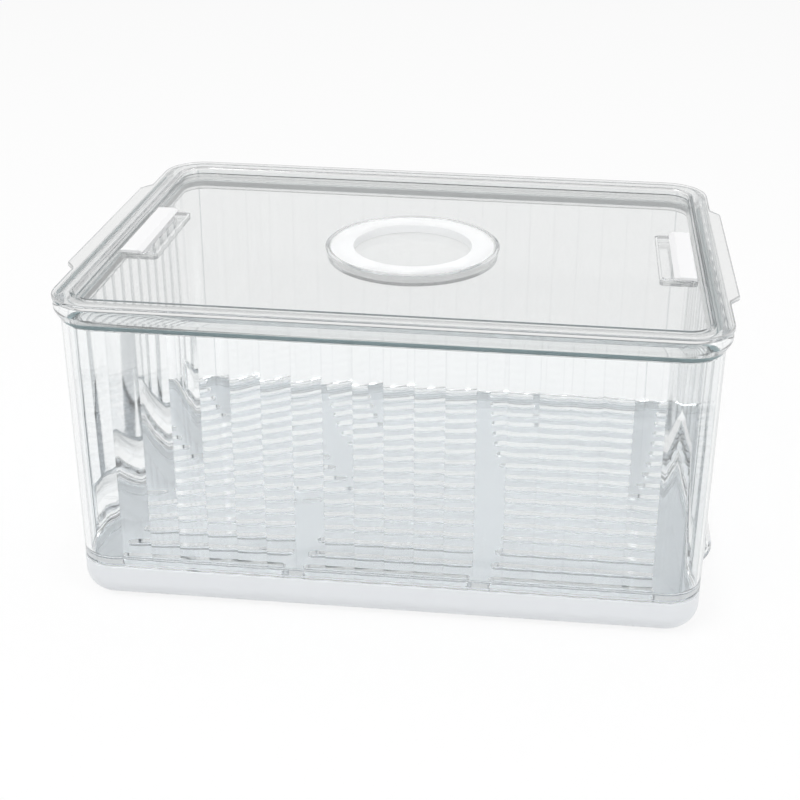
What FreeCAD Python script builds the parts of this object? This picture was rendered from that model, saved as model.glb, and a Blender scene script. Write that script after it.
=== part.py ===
import FreeCAD, Part
import math
import os
import Sketcher

# Produce keeper: a clear fluted bin on a white drip tray, under a clear vented lid.
# Millimetres, +Z up, origin on the ground under the centre of the keeper.
# X runs along the long side, and the front is towards -Y.

doc = FreeCAD.newDocument("produce_keeper")
sizes = doc.addObject("Spreadsheet::Sheet", "Sizes")

drivingSizes = [
    ("keeperHeight", 152, "ground to the top of the lid"),
    ("lidLength", 300, "lid flange along X, without its tabs"),
    ("lidDepth", 215, "lid flange along Y"),
    ("lidCorner", 21, "plan radius of the flange corners"),
    ("flangeThick", 2.5, "lid flange thickness"),
    ("flangeWidth", 10, "edge of the flange to the recessed panel"),
    ("flangeBevel", 0.6, "bevel of the flange's edges"),
    ("panelDrop", 3.7, "flange top down to the panel top"),
    ("panelThick", 2, "panel thickness"),
    ("stepWall", 2, "wall between flange and panel, and of the skirt"),
    ("skirtDepth", 14.6, "flange top down to the skirt's lower edge"),
    ("tabReach", 4.7, "lifting tab beyond the flange"),
    ("tabLength", 112, "outer edge of a lifting tab"),
    ("tabSlope", 6.5, "slanted end of a tab along Y"),
    ("tabRound", 3, "plan rounding of a tab's outer corners"),
    ("sealTop", 9.9, "flange top down to the seal"),
    ("sealHeight", 3.2, "height of the seal"),
    ("sealSeat", 0.8, "depth of the seal's groove in the skirt"),
    ("sealGap", 0.3, "seal to the inside of the bin"),
    ("sealBevel", 0.7, "bevel of the seal's lip"),
    ("seatGap", 0.1, "play where one piece stands on another"),
    ("rimInset", 0.3, "bin rim inside the lid's edge"),
    ("rimHeight", 9.8, "height of the bin's thick rim"),
    ("rimTaper", 5.4, "height over which the rim slopes in to the wall"),
    ("rimLedge", 0.4, "rim beyond the wall where its slope starts"),
    ("rimTopBevel", 1.5, "upper bevel of the rim"),
    ("wallInsetTop", 3, "lid edge in to the bin wall, at the rim"),
    ("wallInsetFoot", 4.5, "lid edge in to the bin wall, at its foot"),
    ("wallThick", 2.4, "bin wall thickness"),
    ("longSeams", 19, "seams between the flutes of a long wall"),
    ("shortSeams", 13, "seams between the flutes of a short wall"),
    ("fluteDepth", 0.6, "depth of the seam between two flutes"),
    ("fluteCrest", 2, "width left flat along the crest of a flute"),
    ("seamTurn", 23, "degrees from a straight wall to a corner's seam"),
    ("floorThick", 2.4, "bin floor thickness"),
    ("floorBevel", 2.2, "inner bevel between floor and wall"),
    ("neckDepth", 5, "locating neck below the bin's floor"),
    ("neckWall", 1.8, "thickness of the locating neck"),
    ("neckGap", 0.4, "neck to the inside of the tray"),
    ("drainPitch", 11.9, "spacing of the drain slots along Y"),
    ("drainWidth", 4.6, "width of a drain slot"),
    ("drainCorner", 1.4, "bevel of a drain slot's corners"),
    ("drainWeb", 9, "web between two slots of one row"),
    ("drainColumns", 3, "slots in one row"),
    ("drainEndMargin", 18.6, "inner end wall to the first slot"),
    ("drainSideMargin", 4.5, "inner side wall to the outermost row"),
    ("gripWidth", 150, "side grip along Y, where it leaves the wall"),
    ("gripHeight", 29, "side grip along Z, where it leaves the wall"),
    ("gripRise", 1, "bin's foot up to the grip"),
    ("gripReach", 5.5, "nose of the grip beyond the wall's foot"),
    ("gripNose", 5, "height of the grip's nose"),
    ("gripNoseRise", 8, "bin's foot up to the nose"),
    ("gripSlope", 6, "slanted end of a grip along Y"),
    ("gripRound", 2.2, "rounding of the grip's nose"),
    ("gripTrough", 2.5, "height of the hollow behind the grip's nose"),
    ("trayHeight", 18.3, "ground to the tray's rim"),
    ("trayThick", 2.4, "tray wall and floor thickness"),
    ("trayRound", 11, "lower rounding of the tray"),
    ("trayBevel", 5, "bevel between the tray's inner floor and wall"),
    ("wellRadius", 41.6, "inside of the dial well at the panel"),
    ("wellTaper", 1, "how much narrower the well is at its floor"),
    ("wellWall", 1.5, "wall of the dial well"),
    ("wellDepth", 5.8, "panel top down to the well's floor"),
    ("wellFloor", 1.4, "floor thickness of the well"),
    ("dialGap", 0.2, "edge of the dial plate to the well"),
    ("dialSink", 0.2, "dial face below the panel top"),
    ("dialPlate", 1.2, "thickness of the clear dial plate"),
    ("bandInner", 29.2, "inner radius of the white band"),
    ("bandGap", 0.4, "edge of the band to the well"),
    ("trackWidth", 15.6, "vent track opening along X"),
    ("trackLength", 59.4, "vent track opening along Y"),
    ("trackMargin", 3.1, "step wall to the track's outer end"),
    ("trackDepth", 3.6, "panel top down to the track's floor"),
    ("trackWall", 1.2, "walls and floor of the track's box"),
    ("trackCorner", 1.5, "bevel of the track's upright corners"),
    ("ventWidth", 3.8, "vent slot in the track's floor along X"),
    ("ventLength", 50, "vent slot along Y"),
    ("ventMargin", 2.4, "track's outer end to the vent slot"),
    ("shutterMargin", 2.6, "step wall to a closed shutter's head"),
    ("shutterLength", 63, "head of a shutter along Y"),
    ("shutterWidth", 10.6, "head of a shutter along X"),
    ("shutterRise", 1.7, "shutter's face above the panel"),
    ("shutterBevel", 2.6, "bevel on the head's inner side"),
    ("shutterLip", 0.5, "head's height under its bevel"),
    ("shutterRound", 0.5, "rounding of the head's outline"),
    ("stemWidth", 8.6, "foot of a shutter in the track, along X"),
    ("stemGap", 0.3, "shutter's foot to the track"),
]

for row, (alias, value, meaning) in enumerate(drivingSizes, start=1):
    sizes.set(f"A{row}", alias)
    sizes.set(f"B{row}", str(value))
    sizes.set(f"C{row}", meaning)
    sizes.setAlias(f"B{row}", alias)
doc.recompute()

# Levels, insets and counts that follow from the sheet.
lidTop = "Sizes.keeperHeight"
flangeUnder = "(Sizes.keeperHeight - Sizes.flangeThick)"
panelTop = "(Sizes.keeperHeight - Sizes.panelDrop)"
panelUnder = f"({panelTop} - Sizes.panelThick)"
skirtEnd = "(Sizes.keeperHeight - Sizes.skirtDepth)"
skirtInset = "(Sizes.flangeWidth - Sizes.stepWall)"
grooveInset = f"({skirtInset} + Sizes.sealSeat)"
sealLevel = "(Sizes.keeperHeight - Sizes.sealTop)"
rimTop = f"({flangeUnder} - Sizes.seatGap)"
rimUnder = f"({rimTop} - Sizes.rimHeight)"
rimMiddle = f"({rimUnder} + Sizes.rimTaper)"
foot = "(Sizes.trayHeight + Sizes.seatGap)"
floorTop = f"({foot} + Sizes.floorThick)"
wallDraft = f"((Sizes.wallInsetFoot - Sizes.wallInsetTop) / ({rimTop} - {foot}))"
innerFoot = "(Sizes.wallInsetFoot + Sizes.wallThick)"
trayInside = "(Sizes.wallInsetFoot + Sizes.trayThick)"
straightX = "(Sizes.lidLength / 2 - Sizes.lidCorner)"
straightY = "(Sizes.lidDepth / 2 - Sizes.lidCorner)"
wellLevel = f"({panelTop} - Sizes.wellDepth)"
dialFace = f"({panelTop} - Sizes.dialSink)"
plateUnder = f"({dialFace} - Sizes.dialPlate)"
stepX = "(Sizes.lidLength / 2 - Sizes.flangeWidth)"
trackOuter = f"({stepX} - Sizes.trackMargin)"
trackInner = f"({trackOuter} - Sizes.trackWidth)"
trackLevel = f"({panelTop} - Sizes.trackDepth)"

# Tools that cut through a wall start this far outside it.
cutterReach = 1


def number(expression):
    """Work out an expression on the sheet as a plain number."""
    result = sizes.evalExpression(expression)
    return float(getattr(result, "Value", result))


def wallInset(height):
    """Inset of the bin wall's outside at a height."""
    return f"(Sizes.wallInsetFoot - {wallDraft} * ({height} - {foot}))"


def originPart(body, role):
    """One of the body's own origin planes or axes."""
    return next(feature for feature in body.Origin.OriginFeatures if feature.Role == role)


def newBody(label):
    """Start a sub-part; its label names its file."""
    body = doc.addObject("PartDesign::Body", label)
    body.Label = label
    return body


def newFeature(body, kind, name):
    """Add a feature to a body; the many faces of the bin are left as they are cut."""
    feature = body.newObject(f"PartDesign::{kind}", f"{body.Label}_{name}")
    feature.Refine = body.Label != "bin"
    return feature


def newSketch(body, name, role="XY_Plane", height=None):
    """Attach an empty sketch to an origin plane, shifted along its normal."""
    sketch = body.newObject("Sketcher::SketchObject", f"{body.Label}_{name}")
    sketch.AttachmentSupport = [(originPart(body, role), "")]
    sketch.MapMode = "FlatFace"
    if height:
        sketch.setExpression("AttachmentOffset.Base.z", height)
    return sketch


def relate(sketch, kind, *references):
    """Add a constraint that has no size."""
    return sketch.addConstraint(Sketcher.Constraint(kind, *references))


def dimension(sketch, kind, references, expression):
    """Add a constraint whose size comes from the sheet."""
    index = sketch.addConstraint(Sketcher.Constraint(kind, *references, number(expression)))
    sketch.setExpression(f"Constraints[{index}]", expression)


def placePoint(sketch, line, end, x, y):
    """Hold one end of a line at a pair of expressions."""
    dimension(sketch, "DistanceX", (-1, 1, line, end), x)
    dimension(sketch, "DistanceY", (-1, 1, line, end), y)


def polygon(sketch, points):
    """Draw a closed outline with straight sides between pairs of expressions."""
    corners = [FreeCAD.Vector(number(x), number(y), 0) for x, y in points]
    first = sketch.GeometryCount
    for start, end in zip(corners, corners[1:] + corners[:1]):
        sketch.addGeometry(Part.LineSegment(start, end))
    for index, (x, y) in enumerate(points):
        before = first + (index - 1) % len(points)
        relate(sketch, "Coincident", before, 2, first + index, 1)
        placePoint(sketch, first + index, 1, x, y)


def rectangle(sketch, lowX, highX, lowY, highY):
    """Draw an upright rectangle between four expressions."""
    polygon(sketch, [(lowX, lowY), (highX, lowY), (highX, highY), (lowX, highY)])


def roundedLoop(sketch, inset):
    """Draw the lid's rounded outline, drawn in evenly by an inset."""
    radius = number(f"Sizes.lidCorner - {inset}")
    x = number(straightX)
    y = number(straightY)
    first = sketch.GeometryCount
    centres = [(x, y), (-x, y), (-x, -y), (x, -y)]
    for quarter, (centreX, centreY) in enumerate(centres):
        base = Part.Circle(FreeCAD.Vector(centreX, centreY, 0), FreeCAD.Vector(0, 0, 1), radius)
        start = quarter * math.pi / 2
        sketch.addGeometry(Part.ArcOfCircle(base, start, start + math.pi / 2))
    for quarter in range(4):
        start = sketch.getPoint(first + quarter, 2)
        end = sketch.getPoint(first + (quarter + 1) % 4, 1)
        sketch.addGeometry(Part.LineSegment(start, end))
    for quarter in range(4):
        side = first + 4 + quarter
        relate(sketch, "Tangent", first + quarter, 2, side, 1)
        relate(sketch, "Tangent", side, 2, first + (quarter + 1) % 4, 1)
        relate(sketch, "Vertical" if quarter % 2 else "Horizontal", side)
        if quarter:
            relate(sketch, "Equal", first, first + quarter)
    relate(sketch, "Symmetric", first, 3, first + 2, 3, -1, 1)
    dimension(sketch, "Radius", (first,), f"Sizes.lidCorner - {inset}")
    dimension(sketch, "DistanceX", (first + 2, 3, first, 3), f"2 * {straightX}")
    dimension(sketch, "DistanceY", (first + 2, 3, first, 3), f"2 * {straightY}")


def bevelledSlot(sketch, lowX, highX, lowY, highY, corner):
    """Draw an upright rectangle with its four corners cut off by the same amount."""
    corners = [
        (f"{lowX} + {corner}", lowY),
        (f"{highX} - {corner}", lowY),
        (highX, f"{lowY} + {corner}"),
        (highX, f"{highY} - {corner}"),
        (f"{highX} - {corner}", highY),
        (f"{lowX} + {corner}", highY),
        (lowX, f"{highY} - {corner}"),
        (lowX, f"{lowY} + {corner}"),
    ]
    polygon(sketch, corners)


def outline(body, name, height, *insets):
    """Sketch of one or two nested outlines of the lid at a height."""
    sketch = newSketch(body, name, "XY_Plane", height)
    for inset in insets:
        roundedLoop(sketch, inset)
    return sketch


def extrude(body, kind, name, sketch, length, upwards=None):
    """Pad or pocket a sketch; a pad grows along its normal and a pocket against it."""
    feature = newFeature(body, kind, name)
    feature.Profile = sketch
    feature.setExpression("Length", length)
    if upwards is False:
        feature.Reversed = True
    return feature


def span(body, name, sketch, length):
    """Pad a sketch by the same amount to both sides."""
    feature = extrude(body, "Pad", name, sketch, length)
    feature.Midplane = True
    return feature


def loft(body, kind, name, first, last):
    """Join two sketches by straight-sided faces."""
    feature = newFeature(body, kind, name)
    feature.Profile = first
    feature.Sections = [last]
    feature.Ruled = True
    return feature


def turn(body, kind, name, points):
    """Turn an outline of the XZ plane once round the Z axis."""
    sketch = newSketch(body, f"{name}_section", "XZ_Plane")
    polygon(sketch, points)
    feature = newFeature(body, kind, name)
    feature.Profile = sketch
    feature.ReferenceAxis = (sketch, ["V_Axis"])
    feature.Angle = 360
    return feature


def linear(body, name, axis, count, length):
    """A row of copies along one of the body's axes."""
    pattern = doc.addObject("PartDesign::LinearPattern", f"{body.Label}_{name}")
    body.addObject(pattern)
    pattern.Direction = (originPart(body, axis), [""])
    pattern.setExpression("Occurrences", count)
    pattern.setExpression("Length", length)
    return pattern


def mirror(body, name, role):
    """A copy on the other side of one of the body's planes."""
    pattern = doc.addObject("PartDesign::Mirrored", f"{body.Label}_{name}")
    body.addObject(pattern)
    pattern.MirrorPlane = (originPart(body, role), [""])
    return pattern


def repeat(body, name, originals, steps):
    """Repeat features by rows and mirrors, one after the other."""
    pattern = doc.addObject("PartDesign::MultiTransform", f"{body.Label}_{name}")
    doc.recompute()
    pattern.Originals = originals
    pattern.Shape = originals[-1].Shape
    body.addObject(pattern)
    pattern.Transformations = [step(body, f"{name}_{index}") for index, step in enumerate(steps)]
    pattern.Refine = False
    body.Tip = pattern
    return pattern


def dressEdges(body, kind, name, size, wanted):
    """Fillet or chamfer those edges of a body that a test picks out."""
    doc.recompute()
    base = body.Tip
    edges = [f"Edge{index}" for index, edge in enumerate(base.Shape.Edges, start=1) if wanted(edge)]
    if not edges:
        raise ValueError(f"{body.Label}: no edges for {name}")
    feature = newFeature(body, kind, name)
    feature.Base = (base, edges)
    feature.setExpression("Radius" if kind == "Fillet" else "Size", size)
    return feature


def roundEdges(body, name, radius, wanted):
    """Fillet the edges of a body that a test picks out."""
    return dressEdges(body, "Fillet", name, radius, wanted)


def bevelEdges(body, name, size, wanted):
    """Chamfer the edges of a body that a test picks out."""
    return dressEdges(body, "Chamfer", name, size, wanted)


def isNear(one, other):
    """Tell whether two lengths are the same."""
    return abs(one - other) < 0.01


def liesAt(edge, height):
    """Tell whether a whole edge lies at one height."""
    level = number(height)
    return isNear(edge.BoundBox.ZMin, level) and isNear(edge.BoundBox.ZMax, level)


def edgeInset(edge):
    """How far an edge's middle lies inside the lid's outline."""
    middle = edge.valueAt(sum(edge.ParameterRange) / 2)
    beyondX = abs(middle.x) - number(straightX)
    beyondY = abs(middle.y) - number(straightY)
    if beyondX > 0 and beyondY > 0:
        return number("Sizes.lidCorner") - math.hypot(beyondX, beyondY)
    return number("Sizes.lidCorner") - max(beyondX, beyondY)


def buildDripTray():
    """White pan on the ground, with a wide belly, that carries the bin."""
    body = newBody("drip_tray")
    extrude(body, "Pad", "block", outline(body, "plan", "0", "Sizes.wallInsetFoot"), "Sizes.trayHeight")
    inside = outline(body, "inside", "Sizes.trayHeight", trayInside)
    extrude(body, "Pocket", "hollow", inside, "Sizes.trayHeight - Sizes.trayThick")
    bevelEdges(body, "bowl", "Sizes.trayBevel", lambda edge: liesAt(edge, "Sizes.trayThick"))
    roundEdges(body, "belly", "Sizes.trayRound", lambda edge: liesAt(edge, "0"))
    return body


def fluteSection(body, name, height, place, angle, face, pitch, seams):
    """Row of cusps where convex flutes meet, on a wall turned by an angle from the front."""
    sketch = newSketch(body, name, "XY_Plane", height)
    sketch.AttachmentOffset = FreeCAD.Placement(
        FreeCAD.Vector(0, 0, number(height)), FreeCAD.Rotation(FreeCAD.Vector(0, 0, 1), number(angle))
    )
    sketch.setExpression("AttachmentOffset.Base.x", place[0])
    sketch.setExpression("AttachmentOffset.Base.y", place[1])
    sketch.setExpression("AttachmentOffset.Rotation.Angle", angle)
    chord = f"({pitch} ^ 2 / 4 - Sizes.fluteCrest ^ 2 / 4)"
    rise = f"(({chord} - Sizes.fluteDepth ^ 2) / (2 * Sizes.fluteDepth))"
    bulge = f"sqrt({pitch} ^ 2 / 4 + {rise} ^ 2)"
    radius = number(bulge)
    step = number(pitch)
    seamLevel = number(f"{face} + Sizes.fluteDepth")
    outside = number(f"{face} - {cutterReach}")
    down = -math.pi / 2
    half = math.asin(step / 2 / radius)
    crest = math.asin(number("Sizes.fluteCrest") / 4 / radius)
    for arc in range(seams + 1):
        centre = FreeCAD.Vector((arc - seams / 2) * step, seamLevel + number(rise), 0)
        base = Part.Circle(centre, FreeCAD.Vector(0, 0, 1), radius)
        begin = down + crest if arc == 0 else down - half
        finish = down - crest if arc == seams else down + half
        sketch.addGeometry(Part.ArcOfCircle(base, begin, finish))
    corners = [sketch.getPoint(seams, 2), sketch.getPoint(0, 1)]
    corners[1:1] = [FreeCAD.Vector(corners[0].x, outside, 0), FreeCAD.Vector(corners[1].x, outside, 0)]
    for start, end in zip(corners[:-1], corners[1:]):
        sketch.addGeometry(Part.LineSegment(start, end))
    right = seams + 1
    bottom = seams + 2
    left = seams + 3
    for edge in range(seams + 4):
        relate(sketch, "Coincident", edge, 2, (edge + 1) % (seams + 4), 1)
    relate(sketch, "Vertical", right)
    relate(sketch, "Vertical", left)
    relate(sketch, "Horizontal", bottom)
    for arc in range(1, seams + 1):
        relate(sketch, "Equal", 0, arc)
        dimension(sketch, "DistanceX", (arc - 1, 3, arc, 3), pitch)
        if arc > 1:
            relate(sketch, "Horizontal", arc - 1, 1, arc, 1)
    dimension(sketch, "Radius", (0,), bulge)
    placePoint(sketch, 0, 2, f"-{pitch} * {seams - 1} / 2", f"{face} + Sizes.fluteDepth")
    width = f"{pitch} * {seams} - Sizes.fluteCrest / 2"
    dimension(sketch, "DistanceX", (bottom, 2, bottom, 1), width)
    dimension(sketch, "DistanceX", (bottom, 2, -1, 1), f"({width}) / 2")
    dimension(sketch, "DistanceY", (bottom, 1, -1, 1), f"{cutterReach} - {face}")
    return sketch


def fluteCutter(body, name, place, angle, edge, pitch, seams):
    """Cutter for the seams of one wall, drafted with the wall up to the rim."""
    sections = []
    for end, height in (("low", f"({foot} - {cutterReach})"), ("high", rimUnder)):
        face = f"({wallInset(height)} - {edge})"
        sections.append(fluteSection(body, f"{name}_{end}", height, place, angle, face, pitch, seams))
    return loft(body, "SubtractiveLoft", name, *sections)


def fluteShortWalls(body):
    """Divide the two short walls into convex flutes."""
    pitch = f"(2 * {straightY} / Sizes.shortSeams)"
    seams = int(number("Sizes.shortSeams"))
    side = fluteCutter(body, "side_flutes", ("0", "0"), "90", "Sizes.lidLength / 2", pitch, seams)
    repeat(body, "short_walls", [side], [lambda owner, name: mirror(owner, name, "YZ_Plane")])


def fluteCornersAndLongWalls(body):
    """Divide the corners and the two long walls into convex flutes."""
    pitch = f"(2 * {straightX} / Sizes.longSeams)"
    corner = (straightX, f"-{straightY}")
    cuts = [
        fluteCutter(body, "corner_front", corner, "Sizes.seamTurn", "Sizes.lidCorner", pitch, 1),
        fluteCutter(body, "corner_side", corner, "90 - Sizes.seamTurn", "Sizes.lidCorner", pitch, 1),
    ]
    steps = [
        lambda owner, name: mirror(owner, name, "YZ_Plane"),
        lambda owner, name: mirror(owner, name, "XZ_Plane"),
    ]
    repeat(body, "corners", cuts, steps)
    seams = int(number("Sizes.longSeams"))
    front = fluteCutter(body, "front_flutes", ("0", "0"), "0", "Sizes.lidDepth / 2", pitch, seams)
    repeat(body, "long_walls", [front], [lambda owner, name: mirror(owner, name, "XZ_Plane")])


def drainFloor(body):
    """Cut rows of slots through the floor."""
    field = f"(Sizes.lidLength - 2 * ({innerFoot} + Sizes.drainEndMargin))"
    length = f"(({field} - (Sizes.drainColumns - 1) * Sizes.drainWeb) / Sizes.drainColumns)"
    step = f"({length} + Sizes.drainWeb)"
    reach = f"(Sizes.lidDepth / 2 - {innerFoot} - Sizes.drainSideMargin)"
    rows = f"(2 * floor({reach} / Sizes.drainPitch) + 1)"
    run = f"(({rows} - 1) * Sizes.drainPitch)"
    sketch = newSketch(body, "drain_row", "XY_Plane", floorTop)
    columns = int(number("Sizes.drainColumns"))
    for column in range(columns):
        start = f"({column} - Sizes.drainColumns / 2) * {step} + Sizes.drainWeb / 2"
        bevelledSlot(
            sketch,
            start,
            f"{start} + {length}",
            f"-{run} / 2 - Sizes.drainWidth / 2",
            f"-{run} / 2 + Sizes.drainWidth / 2",
            "Sizes.drainCorner",
        )
    row = extrude(body, "Pocket", "drains", sketch, f"Sizes.floorThick + {cutterReach}")
    repeat(body, "drain_rows", [row], [lambda owner, name: linear(owner, name, "Y_Axis", rows, run)])


def gripSection(body, name, away, width, low, high):
    """Upright rectangle across the grip, at a distance along X."""
    sketch = newSketch(body, name, "YZ_Plane", away)
    rectangle(sketch, f"-{width} / 2", f"{width} / 2", low, high)
    return sketch


gripWallX = "(Sizes.lidLength / 2 - Sizes.wallInsetFoot)"
gripNoseX = f"({gripWallX} + Sizes.gripReach)"
gripLow = f"({foot} + Sizes.gripRise)"
gripHigh = f"({gripLow} + Sizes.gripHeight)"
noseLow = f"({foot} + Sizes.gripNoseRise)"
noseHigh = f"({noseLow} + Sizes.gripNose)"
noseMiddle = f"({noseLow} + Sizes.gripNose / 2)"
noseWidth = "(Sizes.gripWidth - 2 * Sizes.gripSlope)"


def addGrips(body):
    """Push the foot of both short walls out into finger grips."""
    rootX = f"{gripWallX} - Sizes.wallThick / 2"
    bump = loft(
        body,
        "AdditiveLoft",
        "grip",
        gripSection(body, "grip_root", rootX, "Sizes.gripWidth", gripLow, gripHigh),
        gripSection(body, "grip_nose", gripNoseX, noseWidth, noseLow, noseHigh),
    )
    repeat(body, "grips", [bump], [lambda owner, name: mirror(owner, name, "YZ_Plane")])
    roundEdges(
        body,
        "grip_round",
        "Sizes.gripRound",
        lambda edge: isNear(edge.BoundBox.XLength, 0)
        and isNear(abs(edge.BoundBox.XMax), number(gripNoseX)),
    )


def hollowGrips(body):
    """Hollow both grips out from inside the bin."""
    hollow = loft(
        body,
        "SubtractiveLoft",
        "grip_hollow",
        gripSection(
            body,
            "hollow_root",
            f"{gripWallX} - Sizes.wallThick - Sizes.floorBevel",
            "(Sizes.gripWidth - 2 * Sizes.wallThick)",
            f"{gripLow} + Sizes.wallThick",
            f"{gripHigh} - Sizes.wallThick",
        ),
        gripSection(
            body,
            "hollow_nose",
            f"{gripNoseX} - Sizes.wallThick",
            f"({noseWidth} - 2 * Sizes.wallThick)",
            f"{noseMiddle} - Sizes.gripTrough / 2",
            f"{noseMiddle} + Sizes.gripTrough / 2",
        ),
    )
    repeat(body, "grip_hollows", [hollow], [lambda owner, name: mirror(owner, name, "YZ_Plane")])


def addRim(body):
    """Thicken the top of the wall to a rim that slopes in to the wall below."""
    rimFoot = outline(body, "rim_foot", rimUnder, f"({wallInset(rimUnder)} - Sizes.rimLedge)")
    loft(body, "AdditiveLoft", "rim_slope", rimFoot, outline(body, "rim_widest", rimMiddle, "Sizes.rimInset"))
    band = outline(body, "rim_plan", rimMiddle, "Sizes.rimInset")
    extrude(body, "Pad", "rim", band, "Sizes.rimHeight - Sizes.rimTaper")
    rimEdge = number("Sizes.rimInset")
    bevelEdges(
        body,
        "rim_over",
        "Sizes.rimTopBevel",
        lambda edge: liesAt(edge, rimTop) and isNear(edgeInset(edge), rimEdge),
    )


def buildBin():
    """Clear drafted bin with fluted walls, a thick rim, side grips and a slotted floor."""
    body = newBody("bin")
    loft(
        body,
        "AdditiveLoft",
        "block",
        outline(body, "foot_plan", foot, "Sizes.wallInsetFoot"),
        outline(body, "top_plan", rimTop, "Sizes.wallInsetTop"),
    )
    fluteShortWalls(body)
    addGrips(body)
    addRim(body)
    mouth = f"({rimTop} + {cutterReach})"
    loft(
        body,
        "SubtractiveLoft",
        "hollow",
        outline(body, "floor_plan", floorTop, f"({wallInset(floorTop)} + Sizes.wallThick)"),
        outline(body, "mouth_plan", mouth, f"({wallInset(mouth)} + Sizes.wallThick)"),
    )
    bevelEdges(body, "floor_bevel", "Sizes.floorBevel", lambda edge: liesAt(edge, floorTop))
    hollowGrips(body)
    neckInset = f"({trayInside} + Sizes.neckGap)"
    neck = outline(body, "neck_plan", foot, neckInset, f"({neckInset} + Sizes.neckWall)")
    extrude(body, "Pad", "neck", neck, "Sizes.neckDepth", upwards=False)
    fluteCornersAndLongWalls(body)
    drainFloor(body)
    return body


def addTabs(body):
    """Lifting tabs on the short sides, one plate with the flange."""
    edgeX = "(Sizes.lidLength / 2)"
    tabX = f"({edgeX} + Sizes.tabReach)"
    tabY = "(Sizes.tabLength / 2)"
    rootY = f"({tabY} + Sizes.tabSlope)"
    sketch = newSketch(body, "tab_plan", "XY_Plane", flangeUnder)
    polygon(
        sketch,
        [
            (tabX, f"-{tabY}"),
            (tabX, tabY),
            (edgeX, rootY),
            (f"-{edgeX}", rootY),
            (f"-{tabX}", tabY),
            (f"-{tabX}", f"-{tabY}"),
            (f"-{edgeX}", f"-{rootY}"),
            (edgeX, f"-{rootY}"),
        ],
    )
    extrude(body, "Pad", "tabs", sketch, "Sizes.flangeThick")
    roundEdges(
        body,
        "tab_corners",
        "Sizes.tabRound",
        lambda edge: isNear(edge.BoundBox.XLength, 0)
        and isNear(edge.BoundBox.YLength, 0)
        and isNear(abs(edge.BoundBox.XMax), number(tabX)),
    )


def addWell(body):
    """Round dished well that the dial turns in."""
    under = f"({wellLevel} - Sizes.wellFloor)"
    floorRadius = "(Sizes.wellRadius - Sizes.wellTaper)"
    turn(
        body,
        "Revolution",
        "well",
        [
            ("0", under),
            (f"{floorRadius} + Sizes.wellWall", under),
            ("Sizes.wellRadius + Sizes.wellWall", panelTop),
            ("0", panelTop),
        ],
    )
    mouth = f"({panelTop} + {cutterReach})"
    turn(
        body,
        "Groove",
        "well_hollow",
        [
            ("0", wellLevel),
            (floorRadius, wellLevel),
            ("Sizes.wellRadius", panelTop),
            ("Sizes.wellRadius", mouth),
            ("0", mouth),
        ],
    )


def addTracks(body):
    """Sunken tracks for the shutters, each with a vent slot in its floor."""
    sketch = newSketch(body, "box_plan", "XY_Plane", panelTop)
    boxY = "(Sizes.trackLength / 2 + Sizes.trackWall)"
    boxInner = f"{trackInner} - Sizes.trackWall"
    boxOuter = f"{trackOuter} + Sizes.trackWall"
    bevelledSlot(sketch, boxInner, boxOuter, f"-{boxY}", boxY, "Sizes.trackCorner")
    box = extrude(body, "Pad", "box", sketch, "Sizes.trackDepth + Sizes.trackWall", upwards=False)
    sketch = newSketch(body, "track_plan", "XY_Plane", panelTop)
    trackY = "Sizes.trackLength / 2"
    bevelledSlot(sketch, trackInner, trackOuter, f"-{trackY}", trackY, "Sizes.trackCorner")
    track = extrude(body, "Pocket", "track", sketch, "Sizes.trackDepth")
    sketch = newSketch(body, "vent_plan", "XY_Plane", trackLevel)
    ventOuter = f"({trackOuter} - Sizes.ventMargin)"
    rectangle(
        sketch, f"{ventOuter} - Sizes.ventWidth", ventOuter, "-Sizes.ventLength / 2", "Sizes.ventLength / 2"
    )
    vent = extrude(body, "Pocket", "vent", sketch, f"Sizes.trackWall + {cutterReach}")
    repeat(body, "tracks", [box, track, vent], [lambda owner, name: mirror(owner, name, "YZ_Plane")])


def buildLid():
    """Clear lid: flange with tabs, recessed panel, skirt, dial well and two tracks."""
    body = newBody("lid")
    extrude(body, "Pad", "flange", outline(body, "plan", flangeUnder, "0"), "Sizes.flangeThick")
    addTabs(body)
    skirt = outline(body, "skirt_plan", flangeUnder, skirtInset)
    extrude(body, "Pad", "skirt", skirt, f"{flangeUnder} - {skirtEnd}", upwards=False)
    recess = outline(body, "recess_plan", lidTop, "Sizes.flangeWidth")
    extrude(body, "Pocket", "recess", recess, "Sizes.panelDrop")
    cavity = outline(body, "cavity_plan", panelUnder, "Sizes.flangeWidth")
    extrude(body, "Pocket", "cavity", cavity, f"{panelUnder} - {skirtEnd}")
    groove = outline(body, "groove_plan", sealLevel, f"({skirtInset} - {cutterReach})", grooveInset)
    extrude(body, "Pocket", "groove", groove, "Sizes.sealHeight")
    bevelEdges(
        body,
        "flange_bevel",
        "Sizes.flangeBevel",
        lambda edge: liesAt(edge, lidTop) or (liesAt(edge, flangeUnder) and edgeInset(edge) < 0.01),
    )
    addWell(body)
    addTracks(body)
    return body


def buildLidSeal():
    """Soft ring in the skirt's groove that fills the gap to the bin."""
    body = newBody("lid_seal")
    lower = f"({sealLevel} - Sizes.sealHeight)"
    lip = f"({wallInset(lower)} + Sizes.wallThick + Sizes.sealGap)"
    plan = outline(body, "plan", lower, lip, grooveInset)
    extrude(body, "Pad", "ring", plan, "Sizes.sealHeight")
    lipInset = number(lip)
    bevelEdges(
        body,
        "lip",
        "Sizes.sealBevel",
        lambda edge: isNear(edgeInset(edge), lipInset) and isNear(edge.BoundBox.ZLength, 0),
    )
    return body


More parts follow.
